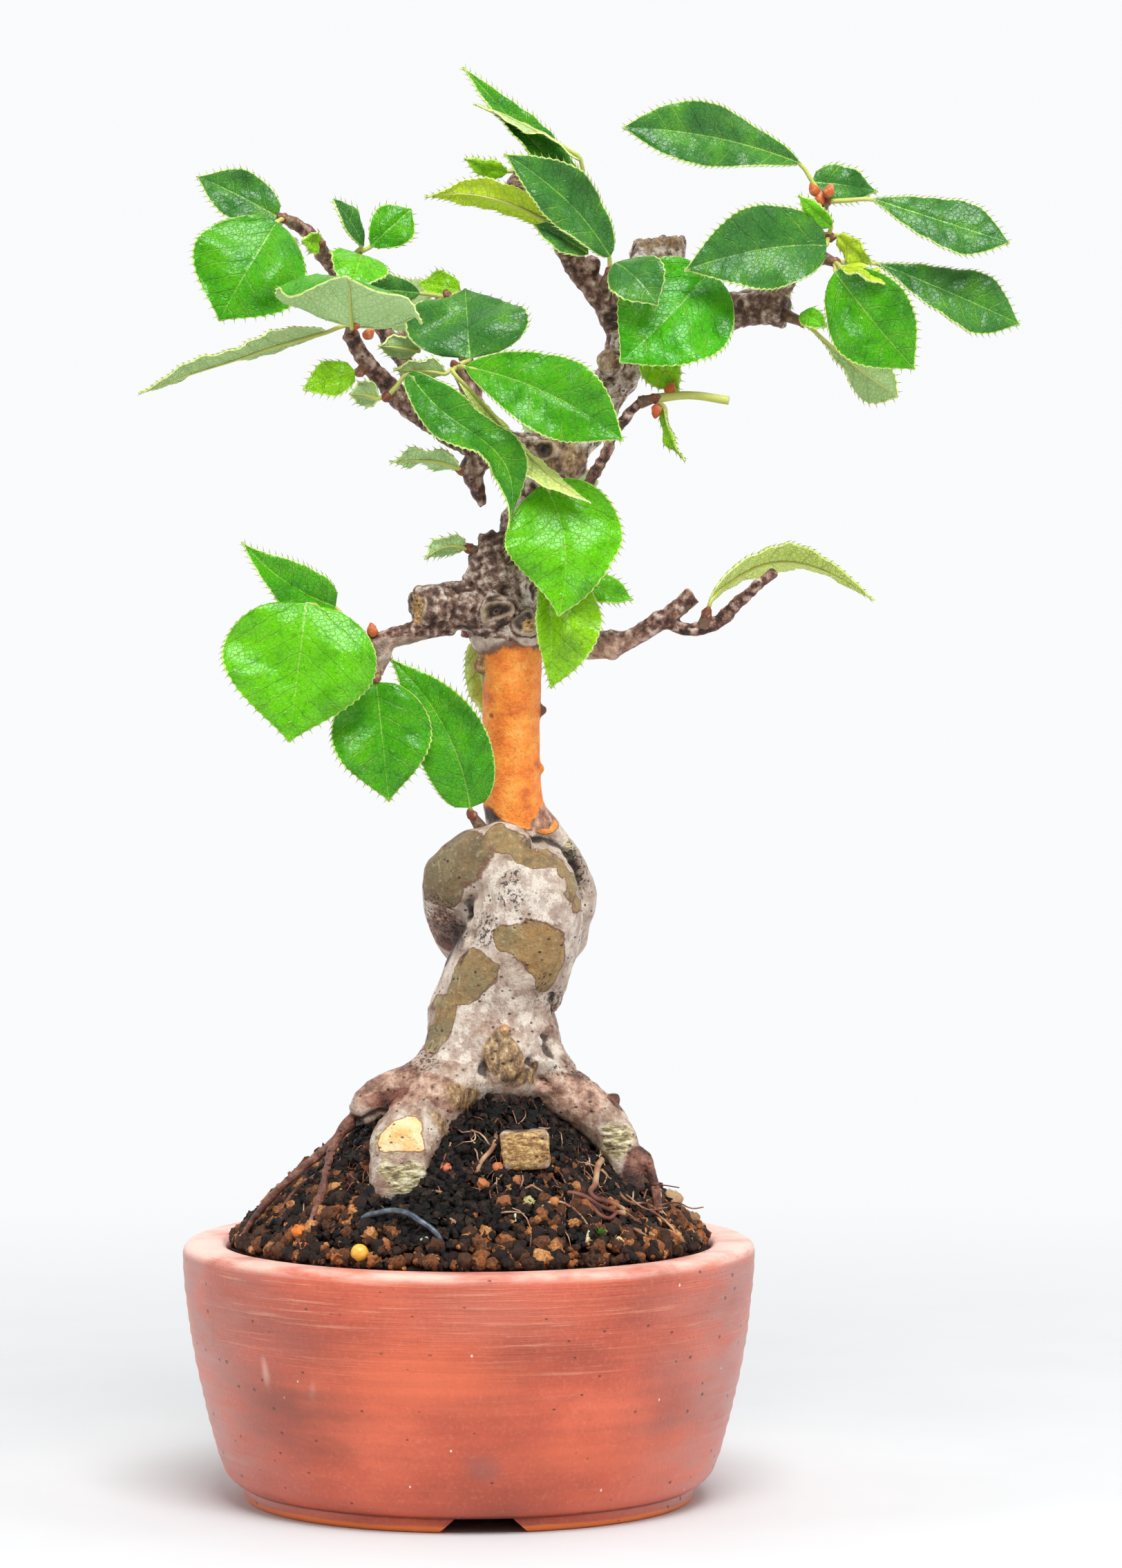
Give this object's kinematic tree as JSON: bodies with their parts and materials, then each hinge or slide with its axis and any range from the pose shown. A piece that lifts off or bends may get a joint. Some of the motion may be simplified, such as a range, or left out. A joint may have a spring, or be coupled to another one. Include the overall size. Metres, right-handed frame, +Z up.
{
  "type": "potted bonsai tree",
  "caption": "A small Chinese quince bonsai with a coiled, patchy trunk and broad toothed leaves, on mounded soil in a round unglazed red-brown pot.",
  "frame": {"origin": "under the middle of the whole object, on the surface that the pot stands on; the pot's axis is at x = -0.0196 m", "axes": "+Z up, +X to the right of the front view, the front of the pot and tree faces -Y"},
  "size_m": [0.152, 0.1, 0.2485],
  "materials": {
    "terracotta": "matt, unglazed",
    "soil": "granular",
    "bark": "patchy bark",
    "leaf": "satin",
    "wire": "dull",
    "netting": "matt",
    "fertiliser": "satin"
  },
  "bodies": {
    "root": {"pot": "terracotta", "drainage_mesh": "netting", "mesh_clip": "wire", "tie_wire": "wire", "fertiliser_prill": "fertiliser", "soil": "soil", "tree_wood": "bark", "shoot_apex_back": "leaf", "shoot_apex_left": "leaf", "shoot_apex_low": "leaf", "shoot_apex_front": "leaf", "shoot_crown_front": "leaf", "shoot_crown_right": "leaf", "shoot_far_right": "leaf", "shoot_low_right": "leaf", "shoot_right_stub": "leaf", "shoot_far_left": "leaf", "shoot_left_top": "leaf", "shoot_left_bright": "leaf", "shoot_left_wings": "leaf", "shoot_left_bright_low": "leaf", "shoot_behind": "leaf", "shoot_middle": "leaf", "shoot_pale_left": "leaf", "shoot_branch_left": "leaf", "shoot_hanging": "leaf", "shoot_heart": "leaf", "shoot_folded": "leaf", "shoot_stub_left": "leaf", "shoot_neck": "leaf", "shoot_low_left": "leaf", "shoot_low_left_down": "leaf", "shoot_coil": "leaf", "shoot_red_twig": "leaf", "shoot_trunk_bright": "leaf", "shoot_arching": "leaf", "shoot_back_trunk": "leaf", "shoot_back_crown": "leaf", "shoot_back_right": "leaf", "shoot_back_knuckle": "leaf"}
  },
  "joints": []
}
